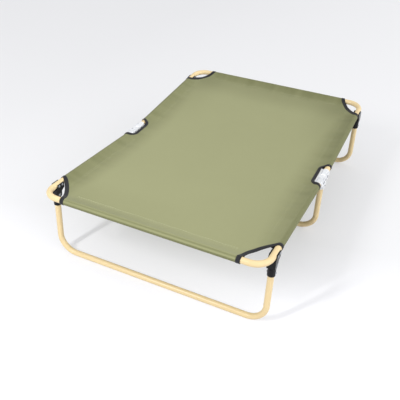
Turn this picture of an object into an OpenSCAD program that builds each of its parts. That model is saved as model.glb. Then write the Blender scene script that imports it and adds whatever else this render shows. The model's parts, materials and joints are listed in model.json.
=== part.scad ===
// Raised folding dog cot: two bent tube half frames hinged on a middle leg, two folding
// end legs in moulded brackets, and a sewn fabric bed with bound cut-outs.
// X runs along the bed, Y across it and Z up. The origin is on the floor under the middle.
// The front end lies at -X and the left side at +Y. All sizes are in millimetres.

/* [Frame tube] */
// Outside diameter of every tube
tube_d = 16; // [14:0.5:20]
// Wall of every tube
tube_wall = 1.2; // [0.8:0.1:2]

/* [Bed frame] */
// Distance across the bed between the side rail axes
rail_span = 600; // [450:10:800]
// Length of one half, from its hinge pivot to its end rail axis
half_len = 428.5; // [360:0.5:620]
// Bend radius of the bed corners, at the tube axis
corner_r = 40; // [32:1:60]
// Rise of each half towards its end while the bed is open, in degrees
rest_tilt = 4; // [1:0.5:8]
// Height of the hinge pivots above the floor
pivot_z = 182.5; // [160:0.5:300]

/* [Hinge] */
// Distance of each hinge pivot from the middle of the bed
pivot_x = 18; // [17.5:0.5:30]
// Thickness of the hinge plates
plate_t = 2; // [1.5:0.1:3]
// Length of the plates beyond each pivot
plate_end = 20; // [12:1:30]
// Height of the plates above the pivots
plate_top = 7; // [6:0.5:12]
// Depth of the plate arms below the pivots
plate_drop = 11; // [8:0.5:14]
// Width of the plate stems beside the middle leg
stem_w = 24; // [20:1:30]
// Depth of the plate stems below the pivots
stem_drop = 30; // [28:1:50]
// Radius of the stems' lower corners
stem_r = 8; // [4:0.5:9.5]
// Fillet between the stems and the arms
stem_fillet = 8; // [4:0.5:10]
// Height of the tongues between the plates
tongue_h = 14; // [12:0.5:16]
// Rounding of the tongues' long edges
tongue_round = 3; // [1:0.5:4]
// Distance from each pivot to its rail tube
tube_start = 22; // [18:1:40]
// Thickness of the collars that the tubes butt against
collar_t = 2; // [1:0.5:4]
// Length of the tongue plugs inside the tubes
plug_len = 25; // [15:1:40]

/* [Rivets and pins] */
// Shank diameter of the hinge pivot rivets
pivot_rivet_d = 6; // [4:0.5:8]
// Shank diameter of the other frame rivets
frame_rivet_d = 4; // [3:0.5:5]
// Diameter of the end leg pins
leg_pin_d = 5; // [4:0.5:7]
// Height of the rivet and pin heads
head_h = 1.8; // [1:0.1:2.5]
// Head diameter for each millimetre of shank diameter
head_ratio = 1.8; // [1.5:0.05:2]

/* [Legs] */
// Bend radius of the legs, at the tube axis
leg_bend_r = 48; // [30:1:60]

/* [Leg bracket] */
// Length of the saddle along the rail
saddle_len = 32; // [28:1:45]
// Wall of the saddle round the rail
saddle_wall = 2.4; // [1.8:0.1:3.5]
// Height of the saddle lips above the rail axis
saddle_lip = 4; // [2:0.5:6]
// Length of the lips' slope at the corner bend
lip_taper = 9; // [4:1:10]
// Thickness of the two cheeks beside the leg
cheek_t = 3; // [2.4:0.1:4]
// Radius of the cheeks round the leg pin
cheek_r = 9; // [8:0.5:9.5]
// Thickness of the web that stops the open leg
stop_web = 2.7; // [2:0.1:4]
// Room between the saddle and the folded leg
fold_room = 3.5; // [2.5:0.5:8]

/* [Leg ferrule] */
// Wall of the ferrule round the leg tube
ferrule_wall = 1.9; // [1.5:0.1:3]
// Length of the ferrule below its tang
ferrule_len = 23; // [20:1:45]
// Floor between the tang and the leg tube
ferrule_floor = 4; // [3:0.5:6]
// Chamfer on the ferrule's rims
ferrule_chamfer = 1; // [0.4:0.1:1.4]
// Room between the cheek ends and the ferrule body
ferrule_room = 1; // [0.6:0.1:2]

/* [Fabric] */
// Thickness of the bed fabric
sheet_t = 1.2; // [0.8:0.1:1.6]
// Distance from the rail axis to the seam of the sewn sleeve
sleeve_depth = 33; // [22:1:40]
// Distance from a corner bend to the fabric, along the end rail
bite_end_room = 18; // [6:1:40]
// Distance from a leg bracket to the fabric, along the side rail
bite_side_room = 9; // [8:1:20]
// Depth of the bowed corner edge behind a straight line
bite_bow = 12; // [10:1:24]
// Mean distance from the hinge plates to the fabric, along the side rail
cutout_room = 15; // [12:1:40]
// Distance that the hinge cut-outs lie towards the rear
cutout_shift = 5; // [0:0.5:6]
// Distance from the hinge rivet heads to the fabric, across the bed
cutout_side_room = 2.3; // [1.8:0.1:6]
// Corner radius of the hinge cut-outs
cutout_r = 20; // [16:1:22]
// Width of the binding tape on the corner edges
corner_tape_w = 9; // [6:0.5:14]
// Width of the binding tape round the hinge cut-outs
hinge_tape_w = 9; // [4:0.5:10]
// Thickness of the binding tape
binding_t = 0.9; // [0.5:0.1:1.2]

/* [Clearances] */
// Gap round every rivet and pin
rivet_gap = 0.05; // [0.02:0.01:0.1]
// Gap between a swinging tube or tang and the cheek beside it
side_gap = 0.3; // [0.2:0.05:0.6]
// Gap between a stop and the piece that it stops
stop_gap = 0.3; // [0.2:0.05:0.5]
// Gap between a tube and the moulding that holds it
seat_gap = 0.1; // [0.05:0.05:0.2]
// Gap between a rail and the sleeve round it
sleeve_gap = 0.3; // [0.2:0.05:0.6]
// Gap between the fabric and the tape folded over its edge
binding_gap = 0.1; // [0.05:0.05:0.2]
// Gap between the front and rear fabric at the middle
seam_gap = 0.5; // [0.3:0.1:1]

/* [Hidden] */
$fn = 64;

cream_paint = "#efd9ab";
zinc_plate = "#ccd2d8";
rivet_steel = "#b4b8bc";
black_nylon = "#343539";
olive_fabric = "#a3a57c";
charcoal_tape = "#3a3a3d";

FRONT = -1;
REAR = 1;
LEFT = 1;
RIGHT = -1;
INNER = -1;
OUTER = 1;
ENDS = [FRONT, REAR];
SIDES = [LEFT, RIGHT];
through = 1;

tube_r = tube_d / 2;
bore_r = tube_r - tube_wall;
rail_y = rail_span / 2;

// Hinge sizes, from the tube that it joins
plate_gap = tube_d + 2 * side_gap;
hinge_w = plate_gap + 2 * plate_t;
hinge_reach = pivot_x + plate_end;
arm_r = (plate_top + plate_drop) / 2;
tongue_w = tube_d;
leg_tongue_w = plate_gap - 2 * seat_gap;
heel_reach = pivot_x - tube_r - stop_gap;
nose_r = heel_reach - stop_gap;
plug_r = bore_r - seat_gap;
half_mid = pivot_x / cos(rest_tilt);
leg_rivet_edge = stem_r + frame_rivet_d / 2;
leg_rivet_drops = [0, stem_drop - leg_rivet_edge];
middle_leg_top = pivot_z - stem_drop - collar_t;

// Leg bracket and ferrule sizes, from the rail, the leg tube and the corner bend
saddle_bore = tube_r + seat_gap;
saddle_r = saddle_bore + saddle_wall;
saddle_end = half_len - corner_r;
saddle_start = saddle_end - saddle_len;
ferrule_r = tube_r + seat_gap + ferrule_wall;
pin_s = saddle_end - stop_web - stop_gap - cheek_r;
pin_drop = saddle_r + fold_room + ferrule_r;
cheek_bottom = pin_drop + cheek_r;
cheek_inner = saddle_r - cheek_t;
cheek_chamfer = stop_web / 2;
tang_w = 2 * (cheek_inner - side_gap);
ferrule_top = cheek_r + ferrule_room;
ferrule_end = ferrule_top + ferrule_len;
socket_top = ferrule_top + ferrule_floor;
ferrule_rivet_drop = (socket_top + ferrule_end) / 2;
knee_drop = pin_drop - sqrt(pow(ferrule_r, 2) - pow(cheek_inner - side_gap, 2));
saddle_rivet_edge = 2 * frame_rivet_d / 2 + saddle_wall;
saddle_rivets = [
    saddle_start + saddle_rivet_edge,
    saddle_end - lip_taper - head_ratio * frame_rivet_d / 2
];
lip_foot = -0.75 * tube_r;
leg_drop = (pivot_z + pin_s * sin(rest_tilt) - tube_r) / cos(rest_tilt);

// Fabric sizes, from the rails and the pieces that its cut-outs clear
sleeve_bore = tube_r + sleeve_gap;
sleeve_r = sleeve_bore + sheet_t;
void_depth = sleeve_depth * sleeve_bore / sleeve_r;
sheet_lap = (sleeve_depth + void_depth) / 2;
fold_r = pivot_x - seam_gap / 2;
sleeve_crease = 0.1;
bite_end = corner_r + bite_end_room;
bite_side = corner_r + saddle_len + bite_side_room;
bite_chord = sqrt(pow(bite_end, 2) + pow(bite_side, 2));
bite_r = (pow(bite_chord / 2, 2) + pow(bite_bow, 2)) / (2 * bite_bow);
bite_lift = bite_r - bite_bow;
bite_x = half_len - bite_side / 2 + bite_lift * bite_end / bite_chord;
bite_y = rail_y - bite_end / 2 + bite_lift * bite_side / bite_chord;
cutout_half = hinge_reach + cutout_room;
cutout_depth = hinge_w / 2 + head_h + cutout_side_room;
cutout_run = sqrt(pow(cutout_r, 2) - pow(cutout_r - cutout_depth, 2));
tape_out = binding_gap + binding_t;
fabric_margin = sleeve_r + tape_out + through;
cut_h = 4 * fabric_margin;

// Draws its children as they are for the rear, and mirrored for the front
module for_end(end) {
    if (end == FRONT)
        mirror([1, 0, 0]) children();
    else
        children();
}

// Places children in one half's own frame: pivot axis at the origin, X out along the rails
module at_half(end) {
    for_end(end)
        translate([pivot_x, 0, pivot_z])
            rotate([0, -rest_tilt, 0])
                children();
}

// Places children in one end leg's own frame: pin axis at the origin, leg along -Z
module at_leg(end) {
    at_half(end)
        translate([pin_s, 0, -pin_drop])
            children();
}

// Solid rod bent to a U in the XY plane, open towards -X
module bent_rod(start, reach, bend, r) {
    straight = reach - bend - start;
    cross = rail_span - 2 * bend;
    for (side = SIDES) {
        translate([start, side * rail_y, 0])
            rotate([0, 90, 0])
                cylinder(r = r, h = straight);
        translate([reach - bend, side * (rail_y - bend), 0])
            rotate([0, 0, side == LEFT ? 0 : -90])
                rotate_extrude(angle = 90)
                    translate([bend, 0])
                        circle(r = r);
    }
    translate([reach, -cross / 2, 0])
        rotate([-90, 0, 0])
            cylinder(r = r, h = cross);
}

module bent_tube(start, reach, bend) {
    difference() {
        bent_rod(start, reach, bend, tube_r);
        bent_rod(start - through, reach, bend, bore_r);
    }
}

// Drill for a rivet or pin across the bed
module cross_hole(d) {
    rotate([90, 0, 0])
        cylinder(d = d + 2 * rivet_gap, h = 4 * tube_d, center = true);
}

module domed_head(d) {
    head_r = head_ratio * d / 2;
    dome_r = (pow(head_r, 2) + pow(head_h, 2)) / (2 * head_h);
    intersection() {
        translate([0, 0, head_h - dome_r])
            sphere(r = dome_r);
        cylinder(r = dome_r, h = head_h);
    }
}

// Rivet across the bed with a domed head on each face of what it grips
module cross_rivet(d, grip) {
    rotate([90, 0, 0]) {
        cylinder(d = d, h = grip, center = true);
        for (turn = [0, 180])
            rotate([turn, 0, 0])
                translate([0, 0, grip / 2])
                    domed_head(d);
    }
}

// U-shaped half of the bed frame, drilled for its leg bracket rivets
module half_frame(end) {
    color(cream_paint)
        at_half(end)
            difference() {
                bent_tube(tube_start, half_len, corner_r);
                for (side = SIDES)
                    for (s = saddle_rivets)
                        translate([s, side * rail_y, 0])
                            cross_hole(frame_rivet_d);
            }
}

// U-shaped end leg, from inside its ferrules to the floor
module end_leg(end) {
    color(cream_paint)
        at_leg(end)
            difference() {
                rotate([0, 90, 0])
                    bent_tube(socket_top + seat_gap, leg_drop - pin_drop, leg_bend_r);
                for (side = SIDES)
                    translate([0, side * rail_y, -ferrule_rivet_drop])
                        cross_hole(frame_rivet_d);
            }
}

module middle_leg() {
    color(cream_paint)
        translate([0, 0, middle_leg_top])
            rotate([0, 90, 0])
                bent_tube(0, middle_leg_top - tube_r, leg_bend_r);
}

// Rectangle about the origin with round corners
module rounded_rect(w, h, r) {
    square([w, h - 2 * r], center = true);
    square([w - 2 * r, h], center = true);
    for (x = [r - w / 2, w / 2 - r])
        for (y = [r - h / 2, h / 2 - r])
            translate([x, y])
                circle(r = r);
}

// Side view of a hinge plate: a round-ended bar and a stem, with the pivots at height 0
module plate_outline() {
    for (end = ENDS)
        translate([end * (hinge_reach - arm_r), plate_top - arm_r])
            circle(r = arm_r);
    translate([arm_r - hinge_reach, -plate_drop])
        square([2 * (hinge_reach - arm_r), 2 * arm_r]);
    translate([-stem_w / 2, stem_r - stem_drop])
        square([stem_w, stem_drop - stem_r]);
    translate([stem_r - stem_w / 2, -stem_drop])
        square([stem_w - 2 * stem_r, stem_drop]);
    for (end = ENDS) {
        translate([end * (stem_w / 2 - stem_r), stem_r - stem_drop])
            circle(r = stem_r);
        for_end(end)
            translate([stem_w / 2, -plate_drop - stem_fillet])
                difference() {
                    translate([-through, 0])
                        square([stem_fillet + through, stem_fillet + through]);
                    translate([stem_fillet, 0])
                        circle(r = stem_fillet);
                }
    }
}

// One of the two flat plates of a hinge, on the bed's side of the rails or outside them
module hinge_plate(side, face) {
    color(zinc_plate)
        translate([0, side * (rail_y + face * (plate_gap + plate_t) / 2), pivot_z])
            difference() {
                rotate([90, 0, 0])
                    linear_extrude(plate_t, center = true)
                        plate_outline();
                for (end = ENDS)
                    translate([end * pivot_x, 0, 0])
                        cross_hole(pivot_rivet_d);
                for (drop = leg_rivet_drops)
                    translate([0, 0, -drop])
                        cross_hole(frame_rivet_d);
            }
}

// Side view of a rail tongue: round nose above the pivot, and a heel that stops on the leg
module tongue_outline() {
    circle(r = nose_r);
    rotate(-rest_tilt)
        translate([-heel_reach, -tongue_h])
            square([heel_reach, tongue_h]);
    translate([0, -tongue_h])
        square([tube_start - collar_t, 2 * tongue_h]);
}

// Cast tongue that turns on a hinge pivot, with a collar and a plug for its rail tube
module rail_tongue(end, side) {
    color(zinc_plate)
        at_half(end)
            translate([0, side * rail_y, 0])
                difference() {
                    union() {
                        intersection() {
                            rotate([90, 0, 0])
                                linear_extrude(2 * tongue_w, center = true)
                                    tongue_outline();
                            translate([-tube_start, 0, 0])
                                rotate([90, 0, 90])
                                    linear_extrude(2 * tube_start)
                                        rounded_rect(tongue_w, tongue_h, tongue_round);
                        }
                        translate([tube_start - collar_t, 0, 0])
                            rotate([0, 90, 0])
                                cylinder(r = tube_r, h = collar_t);
                        translate([tube_start - collar_t, 0, 0])
                            rotate([0, 90, 0])
                                cylinder(r = plug_r, h = collar_t + plug_len);
                    }
                    cross_hole(pivot_rivet_d);
                }
}

// Cast tongue that is riveted between the plates, with a collar and a plug for the middle leg
module leg_tongue(side) {
    color(zinc_plate)
        translate([0, side * rail_y, pivot_z])
            difference() {
                union() {
                    translate([0, 0, -stem_drop])
                        linear_extrude(stem_drop + tongue_h / 2)
                            rounded_rect(tube_d, leg_tongue_w, tongue_round);
                    translate([0, 0, -stem_drop - collar_t])
                        cylinder(r = tube_r, h = collar_t);
                    translate([0, 0, -stem_drop - collar_t - plug_len])
                        cylinder(r = plug_r, h = collar_t + plug_len);
                }
                for (drop = leg_rivet_drops)
                    translate([0, 0, -drop])
                        cross_hole(frame_rivet_d);
            }
}

module hinge_pivot_rivets() {
    color(rivet_steel)
        for (end = ENDS)
            for (side = SIDES)
                translate([end * pivot_x, side * rail_y, pivot_z])
                    cross_rivet(pivot_rivet_d, hinge_w);
}

module middle_leg_rivets() {
    color(rivet_steel)
        for (side = SIDES)
            for (drop = leg_rivet_drops)
                translate([0, side * rail_y, pivot_z - drop])
                    cross_rivet(frame_rivet_d, hinge_w);
}

// End view of the saddle: half round below the rail, with upright lips
module saddle_section() {
    difference() {
        union() {
            circle(r = saddle_r);
            translate([-saddle_r, 0])
                square([2 * saddle_r, saddle_lip]);
        }
        translate([-2 * saddle_r, saddle_lip])
            square([4 * saddle_r, 2 * saddle_r]);
    }
}

// Side view of one cheek: it narrows from the saddle to the round end at the leg pin
module cheek_outline() {
    translate([pin_s, -pin_drop])
        circle(r = cheek_r);
    polygon([
        [saddle_start, 0],
        [saddle_start, -saddle_r],
        [pin_s - cheek_r, -knee_drop],
        [pin_s - cheek_r, -pin_drop],
        [pin_s, -pin_drop],
        [pin_s, -cheek_bottom],
        [saddle_end - cheek_chamfer, -cheek_bottom],
        [saddle_end, cheek_chamfer - cheek_bottom],
        [saddle_end, 0]
    ]);
}

// Side view of what is cut off the saddle so that its lips slope down to the corner bend
module lip_slope() {
    polygon([
        [saddle_end - lip_taper, saddle_lip],
        [saddle_end, lip_foot],
        [saddle_end + through, lip_foot],
        [saddle_end + through, saddle_lip + through],
        [saddle_end - lip_taper, saddle_lip + through]
    ]);
}

// Moulded bracket: a saddle under the rail and a clevis, closed at the end by the leg's stop
module leg_bracket(end, side) {
    color(black_nylon)
        at_half(end)
            translate([0, side * rail_y, 0])
                difference() {
                    union() {
                        translate([saddle_start, 0, 0])
                            rotate([90, 0, 90])
                                linear_extrude(saddle_len)
                                    saddle_section();
                        for (face = SIDES)
                            translate([0, face * (saddle_r - cheek_t / 2), 0])
                                rotate([90, 0, 0])
                                    linear_extrude(cheek_t, center = true)
                                        cheek_outline();
                        intersection() {
                            rotate([90, 0, 0])
                                linear_extrude(2 * (cheek_inner + through), center = true)
                                    cheek_outline();
                            translate([saddle_end - stop_web, -saddle_r, -2 * cheek_bottom])
                                cube([2 * stop_web, 2 * saddle_r, 4 * cheek_bottom]);
                        }
                    }
                    translate([saddle_start - through, 0, 0])
                        rotate([0, 90, 0])
                            cylinder(r = saddle_bore, h = saddle_len + 2 * through);
                    rotate([90, 0, 0])
                        linear_extrude(4 * saddle_r, center = true)
                            lip_slope();
                    for (s = saddle_rivets)
                        translate([s, 0, 0])
                            cross_hole(frame_rivet_d);
                    translate([pin_s, 0, -pin_drop])
                        cross_hole(leg_pin_d);
                }
}

// Moulded ferrule: a socket for the leg tube below a flat-sided tang on the leg pin
module leg_ferrule(end, side) {
    color(black_nylon)
        at_leg(end)
            translate([0, side * rail_y, 0])
                difference() {
                    union() {
                        intersection() {
                            translate([0, 0, -ferrule_top - through])
                                cylinder(r = ferrule_r, h = ferrule_top + through + cheek_r);
                            rotate([90, 0, 0])
                                linear_extrude(tang_w, center = true) {
                                    circle(r = cheek_r);
                                    translate([-cheek_r, -ferrule_top - through])
                                        square([2 * cheek_r, ferrule_top + through]);
                                }
                        }
                        rotate_extrude()
                            polygon([
                                [0, -ferrule_top],
                                [ferrule_r - ferrule_chamfer, -ferrule_top],
                                [ferrule_r, -ferrule_top - ferrule_chamfer],
                                [ferrule_r, ferrule_chamfer - ferrule_end],
                                [ferrule_r - ferrule_chamfer, -ferrule_end],
                                [0, -ferrule_end]
                            ]);
                    }
                    translate([0, 0, -ferrule_end - through])
                        cylinder(r = tube_r + seat_gap, h = ferrule_end - socket_top + through);
                    cross_hole(leg_pin_d);
                    translate([0, 0, -ferrule_rivet_drop])
                        cross_hole(frame_rivet_d);
                }
}

module leg_pins(end) {
    color(rivet_steel)
        at_leg(end)
            for (side = SIDES)
                translate([0, side * rail_y, 0])
                    cross_rivet(leg_pin_d, 2 * saddle_r);
}

module bracket_rivets(end) {
    color(rivet_steel)
        at_half(end)
            for (side = SIDES)
                for (s = saddle_rivets)
                    translate([s, side * rail_y, 0])
                        cross_rivet(frame_rivet_d, 2 * saddle_r);
}

module ferrule_rivets(end) {
    color(rivet_steel)
        at_leg(end)
            for (side = SIDES)
                translate([0, side * rail_y, -ferrule_rivet_drop])
                    cross_rivet(frame_rivet_d, 2 * ferrule_r);
}

// Drop shape round a rail: a circle drawn out to the seam on the bed's side
module sleeve_section(r) {
    depth = sleeve_depth * r / sleeve_r;
    chord_r = r - sleeve_crease;
    spread = acos(chord_r / depth);
    circle(r = r);
    polygon([
        [0, 0],
        [-chord_r * cos(spread), chord_r * sin(spread)],
        [-depth, 0],
        [-chord_r * cos(spread), -chord_r * sin(spread)]
    ]);
}

// Sleeves along the two side rails and the end rail of one half
module sleeves(r, margin) {
    for (side = SIDES)
        translate([-pivot_x - margin, side * rail_y, 0])
            rotate([90, 0, 90])
                linear_extrude(pivot_x + half_len + 2 * margin)
                    if (side == LEFT)
                        sleeve_section(r);
                    else
                        mirror([1, 0]) sleeve_section(r);
    translate([half_len, 0, 0])
        rotate([90, 0, 0])
            linear_extrude(rail_span + 2 * margin, center = true)
                sleeve_section(r);
}

// Space for one half's fabric: its round middle edge keeps to its own side through the fold
module fold_space() {
    rotate([90, 0, 0])
        cylinder(r = fold_r, h = 2 * rail_span, center = true);
    translate([0, -rail_span, -cut_h / 2])
        cube([2 * half_len, 2 * rail_span, cut_h]);
}

// Uncut fabric of one half, thickened outwards by a layer
module fabric_layers(layer) {
    flat_w = 2 * (rail_y - sheet_lap);
    intersection() {
        difference() {
            union() {
                translate([-pivot_x, -flat_w / 2, -sheet_t / 2 - layer])
                    cube([pivot_x + half_len - sheet_lap, flat_w, sheet_t + 2 * layer]);
                sleeves(sleeve_r + layer, 0);
            }
            sleeves(sleeve_bore, through);
        }
        fold_space();
    }
}

// Plan of a corner bite, grown into the fabric
module bite(side, grow) {
    translate([bite_x, side * bite_y])
        circle(r = bite_r + grow);
}

// Plan of one half's part of a hinge cut-out, grown into the fabric
module cutout(end, side, grow) {
    edge = rail_y - cutout_depth - grow;
    bend = cutout_half + end * cutout_shift - cutout_run - half_mid;
    round_r = cutout_r + grow;
    mirror([0, side == RIGHT ? 1 : 0]) {
        translate([-2 * half_mid, edge])
            square([2 * half_mid + bend, 2 * round_r]);
        translate([bend, edge + round_r])
            circle(r = round_r);
    }
}

// Upright prism over a plan that is high enough to cut the fabric
module cutter() {
    linear_extrude(cut_h, center = true)
        children();
}

module fabric_half(end) {
    color(olive_fabric)
        at_half(end)
            difference() {
                fabric_layers(0);
                cutter()
                    for (side = SIDES) {
                        bite(side, 0);
                        cutout(end, side, 0);
                    }
            }
}

// Tape folded over a cut edge: children are the plan at the fold, the edge and the tape's width
module folded_tape() {
    difference() {
        intersection() {
            fabric_layers(tape_out);
            cutter()
                difference() {
                    children(2);
                    children(0);
                }
        }
        difference() {
            fabric_layers(binding_gap);
            cutter()
                children(1);
        }
    }
}

module corner_binding(end, side) {
    color(charcoal_tape)
        at_half(end)
            folded_tape() {
                bite(side, -tape_out);
                bite(side, -binding_gap);
                bite(side, corner_tape_w);
            }
}

module hinge_bindings(end) {
    color(charcoal_tape)
        at_half(end)
            for (side = SIDES)
                folded_tape() {
                    cutout(end, side, -tape_out);
                    cutout(end, side, -binding_gap);
                    cutout(end, side, hinge_tape_w);
                }
}

half_frame(FRONT);  // front_frame
half_frame(REAR);  // rear_frame
end_leg(FRONT);  // front_leg
middle_leg();
end_leg(REAR);  // rear_leg
hinge_plate(LEFT, INNER);  // left_inner_hinge_plate
hinge_plate(LEFT, OUTER);  // left_outer_hinge_plate
hinge_plate(RIGHT, INNER);  // right_inner_hinge_plate
hinge_plate(RIGHT, OUTER);  // right_outer_hinge_plate
rail_tongue(FRONT, LEFT);  // front_left_rail_tongue
rail_tongue(FRONT, RIGHT);  // front_right_rail_tongue
rail_tongue(REAR, LEFT);  // rear_left_rail_tongue
rail_tongue(REAR, RIGHT);  // rear_right_rail_tongue
leg_tongue(LEFT);  // left_leg_tongue
leg_tongue(RIGHT);  // right_leg_tongue
hinge_pivot_rivets();
middle_leg_rivets();
leg_bracket(FRONT, LEFT);  // front_left_leg_bracket
leg_bracket(FRONT, RIGHT);  // front_right_leg_bracket
leg_bracket(REAR, LEFT);  // rear_left_leg_bracket
leg_bracket(REAR, RIGHT);  // rear_right_leg_bracket
leg_ferrule(FRONT, LEFT);  // front_left_ferrule
leg_ferrule(FRONT, RIGHT);  // front_right_ferrule
leg_ferrule(REAR, LEFT);  // rear_left_ferrule
leg_ferrule(REAR, RIGHT);  // rear_right_ferrule
leg_pins(FRONT);  // front_leg_pins
leg_pins(REAR);  // rear_leg_pins
bracket_rivets(FRONT);  // front_bracket_rivets
bracket_rivets(REAR);  // rear_bracket_rivets
ferrule_rivets(FRONT);  // front_ferrule_rivets
ferrule_rivets(REAR);  // rear_ferrule_rivets
fabric_half(FRONT);  // front_fabric
fabric_half(REAR);  // rear_fabric
corner_binding(FRONT, LEFT);  // front_left_corner_binding
corner_binding(FRONT, RIGHT);  // front_right_corner_binding
corner_binding(REAR, LEFT);  // rear_left_corner_binding
corner_binding(REAR, RIGHT);  // rear_right_corner_binding
hinge_bindings(FRONT);  // front_hinge_bindings
hinge_bindings(REAR);  // rear_hinge_bindings
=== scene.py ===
import json
import math

import bpy
import numpy as np
from mathutils import Matrix, Vector
from mathutils.geometry import delaunay_2d_cdt


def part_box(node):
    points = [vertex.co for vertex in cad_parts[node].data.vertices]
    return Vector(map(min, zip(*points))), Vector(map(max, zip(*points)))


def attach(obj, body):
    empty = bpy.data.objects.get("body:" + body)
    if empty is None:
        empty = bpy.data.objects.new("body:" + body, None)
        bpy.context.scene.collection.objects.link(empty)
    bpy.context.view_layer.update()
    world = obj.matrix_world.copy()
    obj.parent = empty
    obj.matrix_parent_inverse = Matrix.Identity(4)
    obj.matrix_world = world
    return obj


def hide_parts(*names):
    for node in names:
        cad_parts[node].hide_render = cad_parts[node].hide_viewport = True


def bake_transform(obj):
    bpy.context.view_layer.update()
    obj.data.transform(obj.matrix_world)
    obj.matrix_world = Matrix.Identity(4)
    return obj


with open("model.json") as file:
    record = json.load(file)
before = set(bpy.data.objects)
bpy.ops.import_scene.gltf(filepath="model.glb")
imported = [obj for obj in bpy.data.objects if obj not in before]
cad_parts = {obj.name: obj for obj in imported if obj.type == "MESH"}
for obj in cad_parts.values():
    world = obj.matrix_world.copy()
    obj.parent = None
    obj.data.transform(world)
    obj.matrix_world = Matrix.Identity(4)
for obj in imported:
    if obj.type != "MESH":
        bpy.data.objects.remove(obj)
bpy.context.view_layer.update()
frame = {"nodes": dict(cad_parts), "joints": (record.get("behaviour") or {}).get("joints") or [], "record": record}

ENDS = {"front": -1, "rear": 1}
SIDES = {"left": 1, "right": -1}

# The rails, read from the frame. Each half of the bed has its own axes: u out along the rails from
# its pivot, v across the bed and h up from the rails.
TUBE_R = 0.008
pivot = next(joint for joint in frame["joints"] if joint["name"] == "rear_half_fold")["pos_m"]
PIVOT_X, PIVOT_Z = pivot[0], pivot[2]
rail_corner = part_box("rear_frame")[1]
end_run = rail_corner.x - TUBE_R - PIVOT_X
end_rise = rail_corner.z - TUBE_R - PIVOT_Z
TILT = math.atan2(end_rise, end_run)
COS_T, SIN_T = math.cos(TILT), math.sin(TILT)
HALF_LEN = math.hypot(end_rise, end_run)
RAIL_Y = rail_corner.y - TUBE_R

# Cut-outs at the hinges: their length out from the middle, their depth, and the round at their ends
HINGE_CUT = {(-1, 1): 0.048, (-1, -1): 0.048, (1, 1): 0.053, (1, -1): 0.0555}
CUT_DEPTH, CUT_ROUND = 0.0144, 0.020
# Bowed corner edges: each is sewn a little differently, so each has its own length along the side
# rail and its own bow
BITE_END = 0.058
BITES = {(-1, 1): (0.084, 0.0055), (-1, -1): (0.083, 0.0115),
         (1, 1): (0.0765, 0.006), (1, -1): (0.0765, 0.004)}
CORNER_TAPE_W, HINGE_TAPE_W = 0.0105, 0.009

# Sleeve: from its seam the cloth climbs to the tube, turns round it and runs back below to the seam
SEAM = 0.0325           # from the rail axis in to the seam
CLOTH_R = 0.0089        # from the rail axis to the middle of the cloth on the tube
CREASE = 0.008          # half the width over which the fold at the seam is rounded
GROOVE = 0.012          # run over which the climb steepens to meet the tube
LEAVE = math.radians(26)    # slope where the cloth meets the tube
UNDER = math.asin(CLOTH_R / SEAM)   # slope of the run back below
UNDER_DROP = 0.0006     # keeps the lower layer clear of the upper one at the seam


def climb():
    """Slope of the straight climb and the run of cloth up to the tube, by repeated correction."""
    slope = 0.1
    for _ in range(30):
        bend = GROOVE / (LEAVE - slope)
        rise = CLOTH_R * math.cos(LEAVE) - bend * (math.cos(slope) - math.cos(LEAVE))
        reach = SEAM - CLOTH_R * math.sin(LEAVE) - bend * (math.sin(LEAVE) - math.sin(slope))
        slope = math.atan2(rise, reach)
    return slope, math.hypot(rise, reach) + GROOVE


CLIMB, TOP_RUN = climb()
TURN = LEAVE + math.pi + UNDER
ROUND_RUN = CLOTH_R * TURN
CREST_RUN = TOP_RUN + CLOTH_R * LEAVE
SLEEVE_RUN = TOP_RUN + ROUND_RUN + SEAM * math.cos(UNDER)
U_MID = -PIVOT_X / COS_T
U_SEAM, V_SEAM = HALF_LEN - SEAM, RAIL_Y - SEAM
U_MAX, V_MAX = U_SEAM + SLEEVE_RUN, V_SEAM + SLEEVE_RUN

# The sleeve's section, summed from its slope in small steps along the run of the cloth
RUN_STEP = 0.0001
RUN_LEAD, RUN_SPARE = 0.02, 0.004       # run before the seam, and past the end of the sleeve
UNDER_EASE = 0.01       # run over which the lower layer drops clear
RUN = np.arange(-RUN_LEAD, SLEEVE_RUN + RUN_SPARE, RUN_STEP)
SLOPE = np.interp(RUN, [-CREASE, CREASE, TOP_RUN - GROOVE, TOP_RUN, TOP_RUN + ROUND_RUN],
                  [0.0, CLIMB, CLIMB, LEAVE, LEAVE - TURN])
INWARD = -np.cumsum(np.cos(SLOPE)) * RUN_STEP
HEIGHT = np.cumsum(np.sin(SLOPE)) * RUN_STEP
INWARD += CLOTH_R * math.sin(LEAVE) - np.interp(TOP_RUN, RUN, INWARD)
HEIGHT += CLOTH_R * math.cos(LEAVE) - np.interp(TOP_RUN, RUN, HEIGHT)
HEIGHT -= UNDER_DROP * np.clip((RUN - TOP_RUN - ROUND_RUN) / UNDER_EASE, 0, 1)


# Materials
FACTOR, A, B, COLOUR = 0, 6, 7, 2       # the sockets of a Mix node that mixes colours
FIRST, SECOND = 2, 3                    # and of one that mixes numbers


def srgb(code):
    """An sRGB hex value as linear colour."""
    parts = [int(code[i:i + 2], 16) / 255 for i in (1, 3, 5)]
    return tuple(c / 12.92 if c <= 0.04045 else ((c + 0.055) / 1.055) ** 2.4 for c in parts) + (1.0,)


def per_metre(size):
    """Pattern scale for marks of a size in millimetres."""
    return 1000.0 / size


def add(owner, kind, inputs=None, **settings):
    """Adds a node with its settings. An input takes a value, a socket or another node's first output."""
    node = owner.node_tree.nodes.new(kind)
    for key, value in settings.items():
        setattr(node, key, value)
    for key, value in (inputs or {}).items():
        if isinstance(value, bpy.types.Node):
            value = value.outputs[0]
        if isinstance(value, bpy.types.NodeSocket):
            owner.node_tree.links.new(value, node.inputs[key])
        else:
            node.inputs[key].default_value = value
    return node


def material(name, surface):
    mat = bpy.data.materials.new(name)
    mat.use_nodes = True
    mat.node_tree.nodes.clear()
    add(mat, "ShaderNodeOutputMaterial", {"Surface": surface(mat)})
    return mat


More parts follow.
